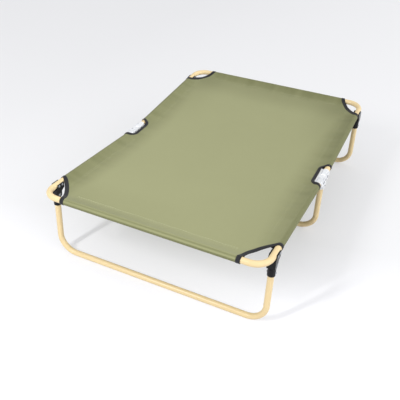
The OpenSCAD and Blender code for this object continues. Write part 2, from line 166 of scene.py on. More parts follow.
def cream_powder_coat(mat):
    # Polyester powder baked on steel tube: an even cream, with an orange-peel skin that breaks up
    # the highlight along the tube. The peel is drawn at 1.6 mm, twice its real size, so that it shows.
    place = add(mat, "ShaderNodeTexCoord").outputs["Object"]
    patch = add(mat, "ShaderNodeTexNoise", {"Vector": place, "Scale": per_metre(110), "Detail": 3.0})
    peel = add(mat, "ShaderNodeTexNoise", {"Vector": place, "Scale": per_metre(1.6)})
    colour = add(mat, "ShaderNodeMix", {FACTOR: patch, A: srgb("#E8D1A3"), B: srgb("#E1C896")},
                 data_type="RGBA")
    return add(mat, "ShaderNodeBsdfPrincipled", {
        "Base Color": colour.outputs[COLOUR],
        "Roughness": add(mat, "ShaderNodeMapRange", {"Value": peel, "To Min": 0.24, "To Max": 0.36}),
        "Specular IOR Level": 0.35, "Coat Weight": 0.05, "Coat Roughness": 0.3,
        "Normal": add(mat, "ShaderNodeBump", {"Height": peel, "Distance": 0.00012, "Strength": 0.5})})


def bright_zinc_plate(mat):
    # Pressed steel with bright zinc plating: pale bluish metal under a clear passivate, with a faint
    # crystal pattern 4 mm across and a fine satin grain
    place = add(mat, "ShaderNodeTexCoord").outputs["Object"]
    crystal = add(mat, "ShaderNodeTexVoronoi", {"Vector": place, "Scale": per_metre(4)})
    grain = add(mat, "ShaderNodeTexNoise", {"Vector": place, "Scale": per_metre(0.7), "Detail": 3.0})
    colour = add(mat, "ShaderNodeMix", {FACTOR: crystal.outputs["Color"], A: srgb("#F6F7F8"),
                                        B: srgb("#E9EBEE")}, data_type="RGBA")
    return add(mat, "ShaderNodeBsdfPrincipled", {
        "Base Color": colour.outputs[COLOUR], "Metallic": 0.4,
        "Roughness": add(mat, "ShaderNodeMapRange", {"Value": grain, "To Min": 0.30, "To Max": 0.46}),
        "Normal": add(mat, "ShaderNodeBump", {"Height": grain, "Distance": 0.00004, "Strength": 0.4})})


def rivet_steel(mat):
    # Plain steel rivets, set in a die: darker than the zinc, with fine marks from the blow
    place = add(mat, "ShaderNodeTexCoord").outputs["Object"]
    marks = add(mat, "ShaderNodeTexNoise", {"Vector": place, "Scale": per_metre(0.55), "Detail": 4.0,
                                            "Roughness": 0.6})
    colour = add(mat, "ShaderNodeMix", {FACTOR: marks, A: srgb("#7E8186"), B: srgb("#A3A6AA")},
                 data_type="RGBA")
    return add(mat, "ShaderNodeBsdfPrincipled", {
        "Base Color": colour.outputs[COLOUR], "Metallic": 0.9,
        "Roughness": add(mat, "ShaderNodeMapRange", {"Value": marks, "To Min": 0.32, "To Max": 0.55}),
        "Normal": add(mat, "ShaderNodeBump", {"Height": marks, "Distance": 0.00005, "Strength": 0.5})})


def black_nylon(mat):
    # Glass-filled nylon from a spark-eroded mould: its fine grain gives black a soft grey sheen, with
    # slow flow marks about 17 mm wide
    place = add(mat, "ShaderNodeTexCoord").outputs["Object"]
    grain = add(mat, "ShaderNodeTexNoise", {"Vector": place, "Scale": per_metre(0.67), "Detail": 3.0,
                                            "Roughness": 0.6})
    flow = add(mat, "ShaderNodeTexNoise", {"Vector": place, "Scale": per_metre(17)})
    colour = add(mat, "ShaderNodeMix", {FACTOR: flow, A: srgb("#0A0B0C"), B: srgb("#131417")},
                 data_type="RGBA")
    return add(mat, "ShaderNodeBsdfPrincipled", {
        "Base Color": colour.outputs[COLOUR], "Specular IOR Level": 0.20,
        "Roughness": add(mat, "ShaderNodeMapRange", {"Value": grain, "To Min": 0.24, "To Max": 0.36}),
        "Normal": add(mat, "ShaderNodeBump", {"Height": grain, "Distance": 0.0001, "Strength": 0.6})})


WEAVE_PITCH = 0.0009


def olive_oxford(mat):
    # Coated oxford polyester, plain woven: slubs run along both thread systems and break up the green,
    # and painted shade, read from the cloth's hem attribute, darkens it towards the hems. The weave is
    # drawn at 0.9 mm, twice its real pitch, and the slubs at 2.4 mm wide, so that they show.
    uv = add(mat, "ShaderNodeUVMap", uv_map="pattern")
    threads = add(mat, "ShaderNodeSeparateXYZ", {0: uv}).outputs
    warp, weft = [add(mat, "ShaderNodeMath", {0: add(mat, "ShaderNodeMath", {
        0: threads[k], 1: math.pi / WEAVE_PITCH}, operation="MULTIPLY")}, operation="SINE") for k in (0, 1)]
    weave = add(mat, "ShaderNodeMapRange", {"From Min": -1.0, "Value": add(mat, "ShaderNodeMath", {
        0: warp, 1: weft}, operation="MULTIPLY")})
    slub_u, slub_v = [add(mat, "ShaderNodeTexNoise", {"Scale": 1.0, "Vector": add(
        mat, "ShaderNodeMapping", {"Vector": uv, "Scale": size})})
        for size in ((per_metre(28), per_metre(2.4), 1.0), (per_metre(2.4), per_metre(28), 1.0))]
    slub = add(mat, "ShaderNodeMix", {FACTOR: 0.5, FIRST: slub_u, SECOND: slub_v}, data_type="FLOAT")
    cloud = add(mat, "ShaderNodeTexNoise", {"Vector": uv, "Scale": per_metre(140), "Detail": 3.0})
    colour = add(mat, "ShaderNodeMix", {FACTOR: weave, A: srgb("#91926B"), B: srgb("#9FA077")},
                 data_type="RGBA").outputs[COLOUR]
    for marks, share, tone in ((slub, 0.35, "#84865F"), (cloud, 0.22, "#A4A57C")):
        amount = add(mat, "ShaderNodeMapRange", {"Value": marks, "To Max": share})
        colour = add(mat, "ShaderNodeMix", {FACTOR: amount, A: colour, B: srgb(tone)},
                     data_type="RGBA").outputs[COLOUR]
    # Painted shade: the hem attribute multiplies the green darker towards the hems and on the sleeves' outer faces
    hem = add(mat, "ShaderNodeAttribute", attribute_name="hem").outputs["Fac"]
    colour = add(mat, "ShaderNodeMix", {FACTOR: hem, A: colour, B: srgb("#C6C7BA")},
                 data_type="RGBA", blend_type="MULTIPLY").outputs[COLOUR]
    relief = add(mat, "ShaderNodeMath", {0: slub, 1: 0.5, 2: weave}, operation="MULTIPLY_ADD")
    return add(mat, "ShaderNodeBsdfPrincipled", {
        "Base Color": colour, "Specular IOR Level": 0.3, "Sheen Weight": 0.08, "Sheen Roughness": 0.5,
        "Roughness": add(mat, "ShaderNodeMapRange", {"Value": slub, "To Min": 0.68, "To Max": 0.85}),
        "Normal": add(mat, "ShaderNodeBump", {"Height": relief, "Distance": 0.00012, "Strength": 0.6})})


RIB_PITCH = 0.0011


def charcoal_grosgrain(mat):
    # Polyester grosgrain tape: fine ribs across its length catch the light as a dull grey edge
    uv = add(mat, "ShaderNodeUVMap", uv_map="pattern")
    along = add(mat, "ShaderNodeSeparateXYZ", {0: uv}).outputs[0]
    ribs = add(mat, "ShaderNodeMath", {0: add(mat, "ShaderNodeMath", {
        0: along, 1: 2 * math.pi / RIB_PITCH}, operation="MULTIPLY")}, operation="SINE")
    fibre = add(mat, "ShaderNodeTexNoise", {"Scale": 1.0, "Vector": add(
        mat, "ShaderNodeMapping", {"Vector": uv, "Scale": (per_metre(0.33), per_metre(3.3), 1.0)})})
    colour = add(mat, "ShaderNodeMix", {FACTOR: fibre, A: srgb("#19191C"), B: srgb("#28282B")},
                 data_type="RGBA")
    return add(mat, "ShaderNodeBsdfPrincipled", {
        "Base Color": colour.outputs[COLOUR], "Specular IOR Level": 0.3, "Sheen Weight": 0.06,
        "Roughness": add(mat, "ShaderNodeMapRange", {"Value": fibre, "To Min": 0.6, "To Max": 0.8}),
        "Normal": add(mat, "ShaderNodeBump", {"Height": ribs, "Distance": 0.0001, "Strength": 0.6})})


def sewing_thread(dark, light):
    def surface(mat):
        # Twisted polyester thread: short pale and dark turns along each stitch
        place = add(mat, "ShaderNodeTexCoord").outputs["Object"]
        twist = add(mat, "ShaderNodeTexNoise", {"Vector": place, "Scale": per_metre(0.38)})
        colour = add(mat, "ShaderNodeMix", {FACTOR: twist, A: srgb(dark), B: srgb(light)}, data_type="RGBA")
        return add(mat, "ShaderNodeBsdfPrincipled", {
            "Base Color": colour.outputs[COLOUR],
            "Roughness": add(mat, "ShaderNodeMapRange", {"Value": twist, "To Min": 0.5, "To Max": 0.7}),
            "Normal": add(mat, "ShaderNodeBump", {"Height": twist, "Distance": 0.00005, "Strength": 0.5})})
    return surface


OLIVE = material("olive_oxford_weave", olive_oxford)
TAPE = material("charcoal_grosgrain_tape", charcoal_grosgrain)
OLIVE_THREAD = material("olive_sewing_thread", sewing_thread("#B4B68E", "#CBCDA7"))
GREY_THREAD = material("charcoal_sewing_thread", sewing_thread("#38383B", "#5A5A5E"))
FINISHES = {"cream_paint": material("cream_powder_coat", cream_powder_coat),
            "zinc_plate": material("bright_zinc_plate", bright_zinc_plate),
            "rivet_steel": material("rivet_steel", rivet_steel),
            "black_nylon": material("black_nylon", black_nylon),
            "olive_fabric": OLIVE, "charcoal_tape": TAPE}

slot_of = {part["node"]: part["material_slot"] for part in frame["record"]["subparts"]}
for name, obj in frame["nodes"].items():
    for slot in obj.material_slots:
        slot.link = "OBJECT"
        slot.material = FINISHES[slot_of[name]]


# Lift of the stretched cloth over the plane of the rails: a membrane held along the sleeves, free at
# the hinge cut-outs, with a little sag under its own weight
GRID = 0.005            # spacing of the membrane's points
SAG = 0.16              # curvature under its weight, both ways together, per metre
HELD_FROM = 0.052       # the sleeves hold the cloth from here out
SETTLE_ROUNDS = 9000


def solve_membrane():
    x_seam = PIVOT_X + U_SEAM * COS_T
    xs = np.linspace(0.0, x_seam, int(round(x_seam / GRID)) + 1)
    ys = np.linspace(0.0, V_SEAM, int(round(V_SEAM / GRID)) + 1)
    rail = PIVOT_Z + (xs - PIVOT_X) / COS_T * SIN_T
    z = np.repeat(rail[:, None], len(ys), axis=1)
    held = xs >= HELD_FROM
    load = SAG * GRID ** 2 / 4
    for _ in range(SETTLE_ROUNDS):
        side = np.pad(z, 1, mode="reflect")
        z = (side[:-2, 1:-1] + side[2:, 1:-1] + side[1:-1, :-2] + side[1:-1, 2:]) / 4 - load
        z[-1, :] = rail[-1]
        z[held, -1] = rail[held]
    return xs, ys, z - rail[:, None]


MEMBRANE = solve_membrane()


def membrane_lift(x, y):
    """Lift between the membrane's points, held just short of its last line."""
    xs, ys, lift = MEMBRANE
    i = np.clip(np.abs(x) / xs[-1] * (len(xs) - 1), 0, len(xs) - 1.001)
    j = np.clip(np.abs(y) / ys[-1] * (len(ys) - 1), 0, len(ys) - 1.001)
    a, b = i.astype(int), j.astype(int)
    f, g = i - a, j - b
    return (lift[a, b] * (1 - f) * (1 - g) + lift[a + 1, b] * f * (1 - g)
            + lift[a, b + 1] * (1 - f) * g + lift[a + 1, b + 1] * f * g)


def smoothstep(low, high, value):
    t = np.clip((value - low) / (high - low), 0.0, 1.0)
    return t * t * (3 - 2 * t)


def hump(value, width):
    return np.exp(-(value / width) ** 2)


def wave(along, length, drift, drift_rate):
    """A wave whose length drifts, as sewn gathers do."""
    return np.sin(along * 2 * math.pi / length + drift * np.sin(along * drift_rate))


def sleeve_profile(run):
    """Distance in from the rail axis and height above it, at a run of cloth out from the seam."""
    inner = np.minimum(run - RUN[0], 0.0)
    return np.interp(run, RUN, INWARD) - inner, np.interp(run, RUN, HEIGHT)


# Gathers that stand up in the cloth: their height, their length and how far they reach from a seam
SIDE_PUCKER, SIDE_LENGTH, SIDE_REACH = 0.0006, 0.046, 0.022
END_PUCKER, END_LENGTH, END_REACH = 0.0003, 0.052, 0.020
SIDE_SHIFT = 0.0073     # sets the gathers of the two sides apart
# Those that fan out at a corner: their height, how close together, and where and how wide their ring is
FAN_PUCKER, FAN_RATE, FAN_AT, FAN_REACH = 0.0005, 11.0, 0.05, 0.035


def pucker(u, v, run_u, run_v):
    """Small gathers that run in from the seams and from the bound corners."""
    side = wave(u + SIDE_SHIFT * np.sign(v), SIDE_LENGTH, drift=1.7, drift_rate=31.0)
    end = wave(v, END_LENGTH, drift=1.9, drift_rate=27.0)
    du, dv = u - HALF_LEN, np.abs(v) - RAIL_Y
    fan = np.sin(np.arctan2(dv, du) * FAN_RATE + np.sign(v))
    return (SIDE_PUCKER * (side * hump(run_v, SIDE_REACH)) + END_PUCKER * (end * hump(run_u, END_REACH))
            + FAN_PUCKER * (fan * hump(np.hypot(du, dv) - FAN_AT, FAN_REACH)))


SLEEVE_OPENS = (0.022, 0.046)   # the side sleeves rise between these distances from the middle


def cloth(end, pattern):
    """Places points of the flat cut pattern (u, v) of one half on the stretched bed."""
    run_u, run_v = pattern[..., 0] - U_SEAM, np.abs(pattern[..., 1]) - V_SEAM
    in_u, high_u = sleeve_profile(run_u)
    in_v, high_v = sleeve_profile(run_v)
    u = HALF_LEN - in_u
    v = np.sign(pattern[..., 1]) * (RAIL_Y - in_v)
    x = PIVOT_X + u * COS_T
    open_sleeve = smoothstep(*SLEEVE_OPENS, x)
    on_top = (run_u < TOP_RUN) & (run_v < TOP_RUN)
    h = high_u + open_sleeve * (high_v + np.where(on_top, pucker(u, v, run_u, run_v), 0.0))
    z = PIVOT_Z + u * SIN_T + h * COS_T + membrane_lift(x, v)
    return np.stack([end * (x - h * SIN_T), v, z], axis=-1)


def cloth_normal(end, pattern):
    step = 0.0005
    du, dv = np.array([step, 0.0]), np.array([0.0, step])
    along = cloth(end, pattern + du) - cloth(end, pattern - du)
    across = cloth(end, pattern + dv) - cloth(end, pattern - dv)
    normal = np.cross(along, across) * end
    return normal / np.linalg.norm(normal, axis=-1, keepdims=True)


# Cut edges of one half's flat pattern, drawn on the side with v above 0
EDGE_STEP, STRAIGHT_STEP = 0.0022, 0.006
CUT_POINTS, BITE_POINTS = 16, 40    # points on each arc before it is stepped evenly
CUT_SOFTENING, BITE_SOFTENING = 6, 12


def resample(points, step):
    points = np.asarray(points, float)
    run = np.concatenate([[0.0], np.cumsum(np.linalg.norm(np.diff(points, axis=0), axis=1))])
    where = np.linspace(0, run[-1], max(2, int(round(run[-1] / step)) + 1))
    return np.stack([np.interp(where, run, points[:, k]) for k in (0, 1)], axis=1)


def soften(points, rounds):
    points = points.copy()
    for _ in range(rounds):
        points[1:-1] = points[1:-1] * 0.5 + (points[:-2] + points[2:]) * 0.25
    return points


def to_pattern(plan):
    """Plan points on the top of the bed as pattern points: sloped cloth is longer than its plan."""
    pattern = plan.copy()
    top = RUN <= CREST_RUN
    for k, axis, seam in ((0, HALF_LEN, U_SEAM), (1, RAIL_Y, V_SEAM)):
        over = plan[:, k] > seam
        pattern[over, k] = seam + np.interp(plan[over, k] - axis, -INWARD[top], RUN[top])
    return pattern


def hinge_edge(end, side):
    """Straight along the hinge plates, then a round out over the rail and down its outer side."""
    run = math.sqrt(CUT_ROUND ** 2 - (CUT_ROUND - CUT_DEPTH) ** 2)
    bend = (HINGE_CUT[end, side] - run - PIVOT_X) / COS_T
    edge = RAIL_Y - CUT_DEPTH
    turn = np.linspace(-math.pi / 2, math.asin(CUT_DEPTH / CUT_ROUND - 1), CUT_POINTS)
    corner = np.stack([bend + CUT_ROUND * np.cos(turn), edge + CUT_ROUND * (1 + np.sin(turn))], axis=1)
    points = to_pattern(np.vstack([[[U_MID, edge]], corner]))
    outer_side = V_SEAM + CREST_RUN + 0.25 * math.pi * CLOTH_R
    points[1:, 1] += (corner[:, 1] - edge) / CUT_DEPTH * (outer_side - points[-1, 1])
    points = np.vstack([points, [[points[-1, 0], V_MAX]]])
    return soften(resample(points, EDGE_STEP), CUT_SOFTENING)


def corner_edge(end, side):
    """An arc that bows in between the side rail and the end rail, and straight round each tube."""
    length, bow = BITES[end, side]
    chord = math.hypot(length, BITE_END)
    radius = (chord ** 2 / 4 + bow ** 2) / (2 * bow)
    cu = HALF_LEN - length / 2 + (radius - bow) * BITE_END / chord
    cv = RAIL_Y - BITE_END / 2 + (radius - bow) * length / chord
    start = math.atan2(RAIL_Y - cv, HALF_LEN - length - cu) % (2 * math.pi)
    stop = math.atan2(RAIL_Y - BITE_END - cv, HALF_LEN - cu) % (2 * math.pi)
    turn = np.linspace(start, stop, BITE_POINTS)
    arc = to_pattern(np.stack([cu + radius * np.cos(turn), cv + radius * np.sin(turn)], axis=1))
    points = np.vstack([[[arc[0, 0], V_MAX]], arc, [[U_MAX, arc[-1, 1]]]])
    return soften(resample(points, EDGE_STEP), BITE_SOFTENING)


HINGE_EDGE = {pair: hinge_edge(*pair) for pair in HINGE_CUT}
CORNER_EDGE = {pair: corner_edge(*pair) for pair in BITES}


def straight(a, b):
    return resample([a, b], STRAIGHT_STEP)[1:-1]


def pattern_outline(end):
    mirror = np.array([1.0, -1.0])
    left_cut, left_bite = HINGE_EDGE[end, 1], CORNER_EDGE[end, 1]
    right_cut, right_bite = HINGE_EDGE[end, -1] * mirror, CORNER_EDGE[end, -1] * mirror
    return np.vstack([
        right_cut, straight(right_cut[-1], right_bite[0]), right_bite,
        straight(right_bite[-1], left_bite[-1]),
        left_bite[::-1], straight(left_bite[0], left_cut[-1]), left_cut[::-1],
        straight(left_cut[0], right_cut[0])])


# The bed cloth
CLOTH_GRID = 0.007      # mesh spacing on the open bed
SLOPE_GRID, BACK_GRID = 0.004, 0.006    # and on the sleeve's climb and its run back
TURN_LINES = 34         # mesh lines round the tube
EDGE_ROOM = 0.0016      # least distance of a grid point from the cut edge
KEEP_INSIDE, MERGE = 1, 1e-6    # the mesher's choice of faces, and how close two points become one


def inside(points, outline):
    u, v = points[:, 0], points[:, 1]
    hit = np.zeros(len(points), bool)
    for (u0, v0), (u1, v1) in zip(outline, np.roll(outline, -1, axis=0)):
        if v0 != v1:
            hit ^= ((v0 > v) != (v1 > v)) & (u < (u1 - u0) * (v - v0) / (v1 - v0) + u0)
    return hit


def grid_lines(first, seam):
    """Mesh lines out to a rail: even on the bed, close together where the cloth turns on the tube."""
    bed = np.arange(first + CLOTH_GRID / 2, seam, CLOTH_GRID)
    slope = np.arange(SLOPE_GRID, TOP_RUN - SLOPE_GRID / 2, SLOPE_GRID)
    turn = TOP_RUN + np.linspace(0, ROUND_RUN, TURN_LINES)
    back = TOP_RUN + ROUND_RUN + np.arange(BACK_GRID, TOP_RUN, BACK_GRID)
    return np.concatenate([bed, seam + slope, seam + turn, seam + back])


# Painted shade on the cloth towards its hems, as the photograph shows it: at the middle of each side,
# and at each end of the sides and of the end rails, stronger on some sides than on others
MID_TONE = {1: 0.76, -1: 0.7}
SIDE_TONE = {(-1, 1): 0.92, (-1, -1): 0.35, (1, 1): 0.8, (1, -1): 0.9}
END_TONE = {(-1, 1): 0.4, (-1, -1): 0.0, (1, 1): 0.9, (1, -1): 1.0}
ALONG_SIDE, ACROSS_END = (0.0, 0.4), (-0.25, 0.25)      # where one tone passes into the next
# The painted shade starts this far in from a seam, and further the darker it is, and is full this far out from it
SIDE_FADE, END_FADE, FULL_TONE = (0.035, 0.035), (0.016, 0.040), 0.030
# A fainter and wider painted shade, along the sides towards their ends and along the end rails
WIDE_SHADE, WIDE_SHADE_ALONG, WIDE_SHADE_SIDE = {-1: 0.08, 1: 0.33}, (0.05, 0.35), (-0.14, -0.012)
WIDE_SHADE_END_SHARE, WIDE_SHADE_END = 0.45, (-0.125, -0.012)
# Painted shade on the crease along an end rail and on the outer faces of the sleeves, by their run past the crest
# of the tube
CREASE_SHADE, CREASE_SHADE_AT, CREASE_SHADE_WIDTH = 0.85, 0.0048, 0.0028
END_FACE = (0.0105, 0.0128)
SIDE_FACE_START, SIDE_FACE_FULL = -0.006, 0.003     # the first from where the cloth meets the tube
# Uneven painted shade along a sewn sleeve: share, length, drift and its rate
SHADE_WAVES = ((0.07, 0.091, 1.7, 13.0), (0.06, 0.047, 2.3, 19.0), (0.05, 0.027, 1.1, 37.0))


# Painted shade made stronger and weaker along a sleeve, in waves like sewn gathers
def gathers(along):
    return sum((share * wave(along, *form) for share, *form in SHADE_WAVES), 1.0)


# Painted shade, 0 to 1, that the cloth's hem attribute carries: towards the hems, on the crease along an end rail
# and on the outer faces of the sleeves
def painted_hem_shade(end, pattern):
    u, v = pattern[:, 0], pattern[:, 1]
    run_u, run_v = u - U_SEAM, np.abs(v) - V_SEAM
    middle = np.where(v > 0, MID_TONE[1], MID_TONE[-1])
    far = np.where(v > 0, SIDE_TONE[end, 1], SIDE_TONE[end, -1])
    side_tone = middle + (far - middle) * smoothstep(*ALONG_SIDE, u)
    left_share = smoothstep(*ACROSS_END, v)
    end_tone = END_TONE[end, -1] + (END_TONE[end, 1] - END_TONE[end, -1]) * left_share
    side_from, end_from = -SIDE_FADE[0] - SIDE_FADE[1] * side_tone, -END_FADE[0] - END_FADE[1] * end_tone
    side_shade = side_tone * gathers(u) * smoothstep(side_from, FULL_TONE, run_v)
    end_shade = end_tone * gathers(v) * smoothstep(end_from, FULL_TONE, run_u)
    wide_shade = (WIDE_SHADE[end] * smoothstep(*WIDE_SHADE_ALONG, u) * smoothstep(*WIDE_SHADE_SIDE, run_v)
             + WIDE_SHADE_END_SHARE * end_tone * smoothstep(*WIDE_SHADE_END, run_u))
    crease_shade = CREASE_SHADE * hump(run_u - CREST_RUN - CREASE_SHADE_AT, CREASE_SHADE_WIDTH)
    end_face = smoothstep(CREST_RUN + END_FACE[0], CREST_RUN + END_FACE[1], run_u)
    side_face = smoothstep(TOP_RUN + SIDE_FACE_START, CREST_RUN + SIDE_FACE_FULL, run_v)
    return np.max([side_shade, end_shade, wide_shade, crease_shade, end_face, side_face], axis=0)


def mesh_object(name, verts, faces, finish, uv=None):
    mesh = bpy.data.meshes.new(name)
    mesh.from_pydata([tuple(p) for p in verts], [], faces)
    mesh.polygons.foreach_set("use_smooth", [True] * len(mesh.polygons))
    if uv is not None:
        corner = np.empty(len(mesh.loops), dtype=np.int32)
        mesh.loops.foreach_get("vertex_index", corner)
        layer = mesh.uv_layers.new(name="pattern")
        layer.data.foreach_set("uv", np.asarray(uv, np.float32)[corner].ravel())
    mesh.materials.append(finish)
    mesh.update()
    obj = bpy.data.objects.new(name, mesh)
    bpy.context.scene.collection.objects.link(obj)
    return obj


def build_cloth(name, end):
    """One half of the bed, with the area of its flat pattern."""
    outline = pattern_outline(end)
    across = grid_lines(0.0, V_SEAM)
    u, v = np.meshgrid(grid_lines(U_MID, U_SEAM), np.concatenate([-across[::-1], across]), indexing="ij")
    points = np.stack([u.ravel(), v.ravel()], axis=1)
    points = points[inside(points, outline)]
    room = np.min([np.abs(points - corner).max(axis=1) for corner in outline], axis=0)
    verts = [Vector(p) for p in np.vstack([outline, points[room > EDGE_ROOM]])]
    loop = [(i, (i + 1) % len(outline)) for i in range(len(outline))]
    pattern, _, faces, _, _, _ = delaunay_2d_cdt(verts, loop, [], KEEP_INSIDE, MERGE)
    pattern = np.array([tuple(p) for p in pattern])
    faces = [tuple(face) if end > 0 else tuple(reversed(face)) for face in faces]
    obj = mesh_object(name, cloth(end, pattern), faces, OLIVE, pattern)
    # Painted shade, kept as the hem attribute that darkens the cloth's colour
    tone = painted_hem_shade(end, pattern).astype(np.float32)
    obj.data.attributes.new("hem", "FLOAT", "POINT").data.foreach_set("value", tone)
    u, v = outline[:, 0], outline[:, 1]
    return obj, 0.5 * abs(np.dot(u, np.roll(v, -1)) - np.dot(v, np.roll(u, -1)))


# Tape folded over a cut edge: how far its faces and its fold lie from the cloth, and its rounded hems
TAPE_TOP, TAPE_LOW, TAPE_FOLD = 0.00085, -0.0007, -0.0006
HEM_EDGE, HEM_ROUND, FOLD_ROUND = 0.0003, 0.0004, 0.0008
SECTION_STEP = 0.001    # across the tape in its pattern


def tape_section(width):
    """From the upper hem round the edge to the lower hem: distance into the cloth, and off it."""
    hem = width - HEM_ROUND
    upper = [(width, HEM_EDGE), (hem, TAPE_TOP * 0.8), (width * 0.75, TAPE_TOP),
             (width * 0.4, TAPE_TOP * 1.06), (FOLD_ROUND, TAPE_TOP), (TAPE_FOLD * 0.5, TAPE_TOP * 0.75)]
    lower = [(TAPE_FOLD, 0.0001), (TAPE_FOLD * 0.5, TAPE_LOW * 0.75), (FOLD_ROUND, TAPE_LOW),
             (width * 0.5, TAPE_LOW), (hem, TAPE_LOW), (width, -HEM_EDGE)]
    return upper + lower


def edge_frame(edge, side):
    """Points of a cut edge on one side of the bed, and the direction from each into the cloth."""
    points = edge * np.array([1.0, side])
    ahead = np.gradient(points, axis=0)
    ahead /= np.linalg.norm(ahead, axis=1, keepdims=True)
    return points, np.stack([ahead[:, 1], -ahead[:, 0]], axis=1) * side


def build_tape(name, end, side, edge, width):
    points, inward = edge_frame(edge, side)
    section = tape_section(width)
    count, ring = len(points), len(section)
    run = np.concatenate([[0.0], np.cumsum(np.linalg.norm(np.diff(points, axis=0), axis=1))])
    rows, uv = [], []
    for k, (across, off) in enumerate(section):
        pattern = points + inward * across
        rows.append(cloth(end, pattern) + cloth_normal(end, pattern) * off)
        uv.append(np.stack([run, np.full(count, k * SECTION_STEP)], axis=1))
    verts = np.stack(rows, axis=1).reshape(-1, 3)
    uv = np.stack(uv, axis=1).reshape(-1, 2)
    faces = [tuple(reversed(range(ring))), tuple(range((count - 1) * ring, count * ring))]
    for i in range(count - 1):
        for k in range(ring):
            a, b = i * ring + k, i * ring + (k + 1) % ring
            faces.append((a, b, b + ring, a + ring))
    if end * side < 0:
        faces = [tuple(reversed(face)) for face in faces]
    return mesh_object(name, verts, faces, TAPE, uv)


# Lockstitch rows: each stitch is a short bead of thread that dips into the cloth at both ends
BEAD = ((0.0, -0.00012, 0.35), (0.2, 0.00008, 0.85), (0.5, 0.00016, 1.0),
        (0.8, 0.00008, 0.85), (1.0, -0.00012, 0.35))    # share of its length, rise, share of its radius
BEAD_SIDES = 6
STITCH_SHARE = 0.62     # length of a bead as a share of the pitch
# Pitch, radius of the thread and lift off the cloth. The seams' stitches are longer than real ones, and
# those of the inner row at the front are thicker too, so that they show as they do in the photograph.
TAPE_STITCH = (0.0032, 0.00022, 0.00088)
END_STITCH, FRONT_STITCH = (0.0055, 0.00016, 0.00015), (0.0072, 0.0005, 0.00015)
SIDE_STITCH = (0.0055, 0.00016, 0.00012)
TAPE_STITCH_INSET = 0.0016      # from the tape's hem
SEAM_INSETS = (-0.002, 0.003)   # the two rows, in from the seam
STOP_AT_END, STOP_AT_HINGE, STOP_AT_CORNER = 0.022, 0.012, 0.018     # short of the cut edges


def add_stitch(verts, faces, start, stop, up, radius, lift):
    stop = start + (stop - start) * STITCH_SHARE
    along = (stop - start) / max(np.linalg.norm(stop - start), 1e-9)
    out = np.cross(along, up)
    base, last = len(verts), (len(BEAD) - 1) * BEAD_SIDES
    for share, rise, thick in BEAD:
        centre = start + (stop - start) * share + up * (lift + rise)
        for k in range(BEAD_SIDES):
            turn = 2 * math.pi * k / BEAD_SIDES
            verts.append(centre + radius * thick * (math.cos(turn) * out + math.sin(turn) * up))
    for j in range(0, last, BEAD_SIDES):
        for k in range(BEAD_SIDES):
            a, b = base + j + k, base + j + (k + 1) % BEAD_SIDES
            faces.append((a, a + BEAD_SIDES, b + BEAD_SIDES, b))
    faces.append(tuple(base + k for k in range(BEAD_SIDES)))
    faces.append(tuple(base + last + k for k in reversed(range(BEAD_SIDES))))


def build_stitches(name, rows, thread):
    verts, faces = [], []
    for end, path, pitch, radius, lift in rows:
        points = resample(path, pitch)
        place, normal = cloth(end, points), cloth_normal(end, points)
        for i in range(len(points) - 1):
            add_stitch(verts, faces, place[i], place[i + 1], normal[i], radius, lift)
    return mesh_object(name, verts, faces, thread)


def tape_row(end, side, edge, width):
    points, inward = edge_frame(edge, side)
    return end, points + inward * (width - TAPE_STITCH_INSET), *TAPE_STITCH


def seam_rows(end):
    """Two rows along each sleeve seam, stopping short of the tapes."""
    v_out = RAIL_Y - BITE_END - STOP_AT_END
    rows = []
    for inset in SEAM_INSETS:
        u = U_SEAM - inset
        stitch = FRONT_STITCH if end < 0 and inset > 0 else END_STITCH
        rows.append((end, [[u, -v_out], [u, v_out]], *stitch))
        for side in SIDES.values():
            v = side * (V_SEAM - inset)
            u_in = HINGE_EDGE[end, side][-1, 0] + STOP_AT_HINGE
            u_out = HALF_LEN - BITES[end, side][0] + STOP_AT_CORNER
            rows.append((end, [[u_in, v], [u_out, v]], *SIDE_STITCH))
    return rows


# Each half's cloth, tapes and thread. Only the corner tapes are attached to the half; the cloth, the hinge tapes
# and the thread stay fixed where they are built.
for end_name, end in ENDS.items():
    half = end_name + "_half"
    bed, bed_area = build_cloth(end_name + "_bed_cloth", end)
    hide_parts(end_name + "_fabric")
    tapes, tape_rows = [], []
    for side_name, side in SIDES.items():
        corner, cut = CORNER_EDGE[end, side], HINGE_EDGE[end, side]
        tape = build_tape(f"{end_name}_{side_name}_corner_tape", end, side, corner, CORNER_TAPE_W)
        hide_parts(f"{end_name}_{side_name}_corner_binding")
        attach(tape, half)
        tapes.append(tape)
        tape = build_tape(f"{end_name}_{side_name}_hinge_tape", end, side, cut, HINGE_TAPE_W)
        if side > 0:
            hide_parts(end_name + "_hinge_bindings")
        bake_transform(tape)
        tapes.append(tape)
        tape_rows += [tape_row(end, side, corner, CORNER_TAPE_W),
                      tape_row(end, side, cut, HINGE_TAPE_W)]
    tape_thread = build_stitches(end_name + "_tape_stitching", tape_rows, GREY_THREAD)
    seam_thread = build_stitches(end_name + "_seam_stitching", seam_rows(end), OLIVE_THREAD)
    for piece in (bed, tape_thread, seam_thread):
        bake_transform(piece)


# Studio
# The floor's painted glow: a white that only the camera and reflections see, strongest at the front
FLOOR_GLOW_SHARE = 0.25      # share of plain white in what the camera and reflections see of the floor
FLOOR_HALF = 9.0
FADE_SKEW, FADE_FROM, FADE_TO = 0.25, -0.52, -0.14      # the fade from front to back, turned by the skew
FRONT_LEVEL, BACK_LEVEL = 2.38, 1.72    # strength of the white
RIGHT_Y, RIGHT_MORE = -0.6, 0.07        # and what is added to it on the right and on the left
LEFT_Y, LEFT_MORE = 1.0, -0.30


